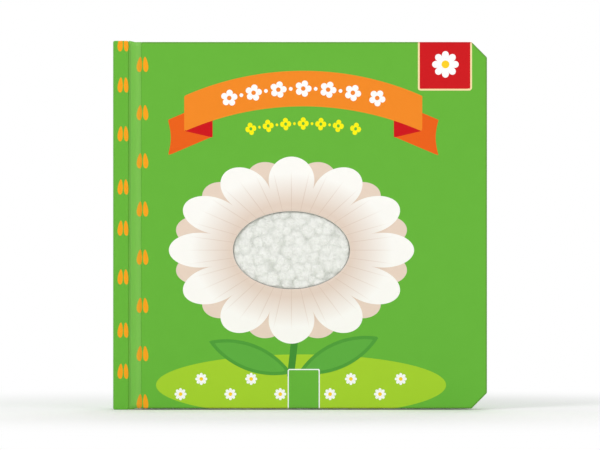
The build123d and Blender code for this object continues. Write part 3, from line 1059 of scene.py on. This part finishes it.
def pile_shape(x, z):
    """Depth of the pile below the cover's face in millimetres, and how dark its shade is, 0 to 1.
    The cells are bent by ripples, and where a cleft is nearly closed it is shallower and paler."""
    bent_x, bent_z = x, z
    for size, wavelength, seed in BENDS:
        bent_x = bent_x + size * ripple(x, z, wavelength, seed)
        bent_z = bent_z + size * ripple(x, z, wavelength, seed + 1)
    first, cleft, high = tuft_cells(bent_x, bent_z, large_tufts, SOFTNESS)
    small_first, small_cleft, small_high = tuft_cells(bent_x, bent_z, small_tufts, SMALL_SOFTNESS)
    open_cleft = np.clip(0.62 + 0.5 * ripple(x, z, 9.0, 9), 0.12, 1.0)
    tuft = CLEFT_DEPTH * open_cleft * cleft
    tuft += TUFT_FALL * np.minimum(first, 1.4) ** 2 + TUFT_RISE * high * (1 - cleft)
    small = SMALL_CLEFT_DEPTH * small_cleft + SMALL_TUFT_FALL * np.minimum(small_first, 1.5) ** 2
    small += SMALL_TUFT_RISE * small_high * (1 - small_cleft)
    ridges = np.abs(ripple(bent_x, bent_z, 1.6, 3)) - 0.5 * np.abs(ripple(bent_x, bent_z, 0.8, 4))
    above = (z - WINDOW_CENTRE[1]) / pile_half[1]
    scaled = np.hypot((x - WINDOW_CENTRE[0]) / pile_half[0], above)
    near_edge = 1 - np.clip((1 - scaled) * pile_half[1] / PILE_EDGE_ROUND, 0, 1)
    edge = (EDGE_DEPTH + MORE_AT_TOP * above) * (1 - np.sqrt(1 - near_edge**2))
    depth = PILE_TOP + tuft + small + CURL_DEPTH * ridges + edge
    outwards = np.clip((first - 0.4) / 0.8, 0, 1)
    # Painted shade: grey in the clefts, on the tufts' flanks and in the deeper pile, and a band along the
    # window's rim, darker at the top.
    shade = CLEFT_SHADE * cleft + FLANK_SHADE * outwards**2
    shade = shade * (0.35 + 0.65 * open_cleft) + SMALL_CLEFT_SHADE * small_cleft
    shade += DEPTH_SHADE * (depth - UNSHADED_DEPTH) + (EDGE_SHADE + MORE_AT_TOP * above) * near_edge**2
    return np.minimum(depth, PILE_LOWEST), np.clip(shade, 0, 1)


def oval_grid(half, rows, columns):
    """A grid over an ellipse without a pole: a square's point (u, v) goes to u * sqrt(1 - v*v/2) and
    v * sqrt(1 - u*u/2), times the half axes."""
    v, u = np.meshgrid(np.linspace(-1, 1, rows), np.linspace(-1, 1, columns), indexing="ij")
    x = WINDOW_CENTRE[0] + half[0] * u * np.sqrt(1 - v * v / 2)
    z = WINDOW_CENTRE[1] + half[1] * v * np.sqrt(1 - u * u / 2)
    return x, z


# %% The fleece's backing and pile
BACKING_GRID = (60, 80)
PILE_GRID = (170, 250)


def oval_skin(half, grid, y):
    """A grid of points over an ellipse, with one y for all of them or one for each."""
    x, z = oval_grid(half, *grid)
    return np.stack([x, np.broadcast_to(y, x.shape), z], -1)


root_y = backing_y - BACKING_THICKNESS
front_skin = oval_skin(BACKING_HALF, BACKING_GRID, root_y)
back_skin = oval_skin(BACKING_HALF, BACKING_GRID, backing_y)
backing = new_piece("fleece_backing", *two_skins(front_skin, back_skin))

depth, cleft = pile_shape(*oval_grid(pile_half, *PILE_GRID))
top_skin = oval_skin(pile_half, PILE_GRID, face_mm + depth)
root_skin = oval_skin(pile_half, PILE_GRID, root_y)
pile = new_piece("fleece_pile", *two_skins(top_skin, root_skin))
# The attribute cleft carries the painted shade; the hidden root skin is given full shade.
store(pile, "cleft", np.stack([cleft, np.ones(cleft.shape)]))
print("pile", round(depth.min(), 2), "to", round(depth.max(), 2), "mm below the face")

# %% [markdown]
# Single fibres stand out of the lumps as small curls. Each is an arc that lies on the pile and
# lifts in its middle, with a square of four points carried along it: 30 faces a fibre. Real fibres
# are about 0.03 mm thick. These are 0.09 mm, so that they show.

# %% Curled fibres
FIBRES = 1500
FIBRE_STEPS = 8
FIBRE_HALF_THICK = 0.045
ARC_RADIUS = (0.35, 0.9)
SWEEP = (1.6, 3.6)
END_LIFT = 0.02
MIDDLE_LIFT = (0.05, 0.22)
dice = np.random.default_rng(11)
angle = dice.uniform(0, 2 * np.pi, FIBRES)
out = np.sqrt(dice.uniform(0, 0.9, FIBRES))
root_x = WINDOW_CENTRE[0] + pile_half[0] * out * np.cos(angle)
root_z = WINDOW_CENTRE[1] + pile_half[1] * out * np.sin(angle)
arc = dice.uniform(*ARC_RADIUS, FIBRES)[:, None]
start = dice.uniform(0, 2 * np.pi, FIBRES)[:, None]
sweep = dice.uniform(*SWEEP, FIBRES)[:, None] * dice.choice([-1.0, 1.0], FIBRES)[:, None]
t = np.linspace(0, 1, FIBRE_STEPS)[None, :]
line_x = root_x[:, None] + arc * (np.cos(start + sweep * t) - np.cos(start))
line_z = root_z[:, None] + arc * (np.sin(start + sweep * t) - np.sin(start))
lift = END_LIFT + dice.uniform(*MIDDLE_LIFT, FIBRES)[:, None] * np.sin(np.pi * t)
line_y = face_mm + pile_shape(line_x, line_z)[0] - lift
line = np.stack([line_x, line_y, line_z], -1)
tangent = np.gradient(line, axis=1)
tangent /= np.linalg.norm(tangent, axis=-1, keepdims=True)
sideways = np.cross(tangent, (0.0, -1.0, 0.0))
sideways /= np.linalg.norm(sideways, axis=-1, keepdims=True)
upwards = np.cross(sideways, tangent)
corners = np.arange(4)[:, None] * np.pi / 2
thick = FIBRE_HALF_THICK * (0.35 + 0.65 * np.sin(np.pi * t))[..., None, None]
ring = sideways[:, :, None] * np.cos(corners) + upwards[:, :, None] * np.sin(corners)
tube = line[:, :, None] + thick * ring
index = np.arange(FIBRES * FIBRE_STEPS * 4).reshape(FIBRES, FIBRE_STEPS, 4)
around = np.roll(index, -1, axis=2)
walls = np.stack([index[:, :-1], around[:, :-1], around[:, 1:], index[:, 1:]], -1).reshape(-1, 4)
caps = np.concatenate([index[:, 0, ::-1], index[:, -1]])
curls = new_piece("fleece_curls", tube.reshape(-1, 3), np.concatenate([walls, caps]))

for piece in (backing, pile, curls):
    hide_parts("fleece_patch")
    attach(piece, "front_cover")

# %% [markdown]
# Crimped polyester scatters light softly: an off-white with a faint sheen at grazing angles and no gloss.
# Grey is painted shade: between the lumps, on their flanks, where the pile lies deep, and along the
# window's rim, most at its top, where the board's edge shades the pile. A fine noise, drawn at 0.35 mm,
# stands for the crimp. The backing is a plain knit with loops about 0.9 mm apart.

# %% Fleece finish
CRIMP_MM = 0.35
CRIMP_HEIGHT = 0.08
FLEECE_CLOUD_MM = 7.0
PILE_SHADE_STRENGTH = 0.7
LOOP_MM = 0.9
LOOP_HEIGHT = 0.1
FLEECE_SURFACE = {"Roughness": 0.95, "Specular IOR Level": 0.15}
FLEECE_SHEEN = {"Sheen Weight": 0.2, "Sheen Roughness": 0.6}
KNIT_SURFACE = {"Roughness": 0.9, "Specular IOR Level": 0.2}

fleece, tree, surface = new_material("polyester_fleece", FLEECE_SURFACE | FLEECE_SHEEN)
place = add_node(tree, COORDINATES)
cleft = add_node(tree, ATTRIBUTE, attribute_name="cleft")
fine = {"Vector": place, "Scale": 1 / (CRIMP_MM * MM), "Detail": 5.0, "Roughness": 0.6}
crimp = add_node(tree, NOISE, fine)
cloud = add_node(tree, NOISE, {"Vector": place, "Scale": 1 / (FLEECE_CLOUD_MM * MM), "Detail": 2.0})
# Painted shade on the pile, read from the cleft attribute.
shade = add_node(tree, MATH, [cleft, PILE_SHADE_STRENGTH], operation="MULTIPLY")
speck = add_node(tree, RANGE, {"Value": crimp, "From Min": 0.5, "From Max": 0.75, "To Max": 0.35})
colour = layer_ink(tree, "#FAFAF6", cloud, "#F5F6F1")
colour = layer_ink(tree, colour, shade, "#C4C8BF")
colour = layer_ink(tree, colour, speck, "#DFE1DA")
fluff = add_node(tree, BUMP, {"Height": crimp, "Distance": CRIMP_HEIGHT * MM})
feed(tree, surface, {"Base Color": colour, "Normal": fluff})
finish_pieces(fleece, pile, curls)

knit, tree, surface = new_material("knitted_backing", KNIT_SURFACE)
place = add_node(tree, COORDINATES)
parts = add_node(tree, "ShaderNodeSeparateXYZ", [place])
courses_and_wales = []
for axis in ("Z", "X"):
    phase = [parts.outputs[axis], 2 * math.pi / (LOOP_MM * MM)]
    phase = add_node(tree, MATH, phase, operation="MULTIPLY")
    courses_and_wales.append(add_node(tree, MATH, [phase], operation="SINE"))
stitches = add_node(tree, MATH, courses_and_wales, operation="MULTIPLY")
shade = add_node(tree, RANGE, {"Value": stitches, "From Min": -1.0, "From Max": 1.0})
relief = add_node(tree, BUMP, {"Height": stitches, "Distance": LOOP_HEIGHT * MM})
feed(tree, surface, {"Base Color": layer_ink(tree, "#D5D7D0", shade, "#EDEEE9"), "Normal": relief})
finish_pieces(knit, backing)

# %% [markdown]
# Greyboard is pressed from waste paper, so it is a dull grey-brown with paler and darker fibres
# and it has no gloss at all. It shows in the wall of the window. Its fibres run every way, so two
# noises are enough: clouds about 5 mm wide, and flecks about 0.6 mm long, drawn coarser than real.

# %% Greyboard
PULP_CLOUD_MM = 5.0
FLECK_MM = 0.6
FLECK_HEIGHT = 0.03
greyboard, tree, surface = new_material("grey_pulp_board", {"Roughness": 0.95, "Specular IOR Level": 0.2})
place = add_node(tree, COORDINATES)
cloud = add_node(tree, NOISE, {"Vector": place, "Scale": 1 / (PULP_CLOUD_MM * MM), "Detail": 4.0})
fine = {"Vector": place, "Scale": 1 / (FLECK_MM * MM), "Detail": 6.0, "Roughness": 0.7}
fleck = add_node(tree, NOISE, fine)
pale = add_node(tree, RANGE, {"Value": fleck, "From Min": 0.58, "From Max": 0.7})
dark = add_node(tree, RANGE, {"Value": fleck, "From Min": 0.42, "From Max": 0.3, "To Max": 0.6})
pulp = layer_ink(tree, "#9C9587", cloud, "#ABA497")
pulp = layer_ink(tree, pulp, pale, "#C9C4B8")
pulp = layer_ink(tree, pulp, dark, "#6F695E")
rough_face = add_node(tree, BUMP, {"Height": fleck, "Distance": FLECK_HEIGHT * MM})
feed(tree, surface, {"Base Color": pulp, "Normal": rough_face})
boards = [f"{place}_board" for place in ("front", "back", "spine")]
strips = [f"{place}_binding_strip" for place in ("front", "back")]
finish_pieces(greyboard, *boards, *strips)

# %% [markdown]
# The leaves are white board, 2.4 mm thick, each made of several plies, and printed and varnished
# on their faces. Cut edges show the plies as thin layers side by side, a little warmer and duller
# than the faces. The layers are a noise stretched along the leaf: 6 mm long and 0.25 mm thick, and
# real ones are finer. A point is on a face when it is as far out as the block's faces are.

# %% Leaf board
PLY_LENGTH = 6.0
PLY_MM = 0.25
PLY_HEIGHT = 0.02
FUZZ_MM = 0.4
FACE_MARGIN = 0.05
EDGE_ROUGHNESS = 0.85
FACE_ROUGHNESS = 0.38
leaf_board, tree, surface = new_material("white_leaf_board", {"IOR": 1.49, "Specular IOR Level": 0.3})
place = add_node(tree, COORDINATES)
parts = add_node(tree, "ShaderNodeSeparateXYZ", [place])
ply_scale = (1 / PLY_LENGTH, 1 / PLY_MM, 1 / PLY_LENGTH)
stretched = add_node(tree, "ShaderNodeMapping", {"Vector": place, "Scale": ply_scale})
plies = add_node(tree, NOISE, {"Vector": stretched, "Scale": 1 / MM, "Detail": 4.0, "Roughness": 0.6})
fuzz = add_node(tree, NOISE, {"Vector": place, "Scale": 1 / (FUZZ_MM * MM), "Detail": 4.0})
depth = add_node(tree, MATH, [parts.outputs["Y"]], operation="ABSOLUTE")
face_depth = abs(page_y) - FACE_MARGIN * MM
on_face = add_node(tree, MATH, [depth, face_depth], operation="GREATER_THAN")
cut_edge = layer_ink(tree, "#EFEBE0", fuzz, layer_ink(tree, "#D8D2C4", plies, "#F7F4EA"))
colour = layer_ink(tree, cut_edge, on_face, "#F7F6F2")
rough = add_node(tree, RANGE, {"Value": on_face, "To Min": EDGE_ROUGHNESS, "To Max": FACE_ROUGHNESS})
cut_relief = add_node(tree, BUMP, {"Height": plies, "Distance": PLY_HEIGHT * MM})
feed(tree, surface, {"Base Color": colour, "Roughness": rough, "Normal": cut_relief})
finish_pieces(leaf_board, "page_block")
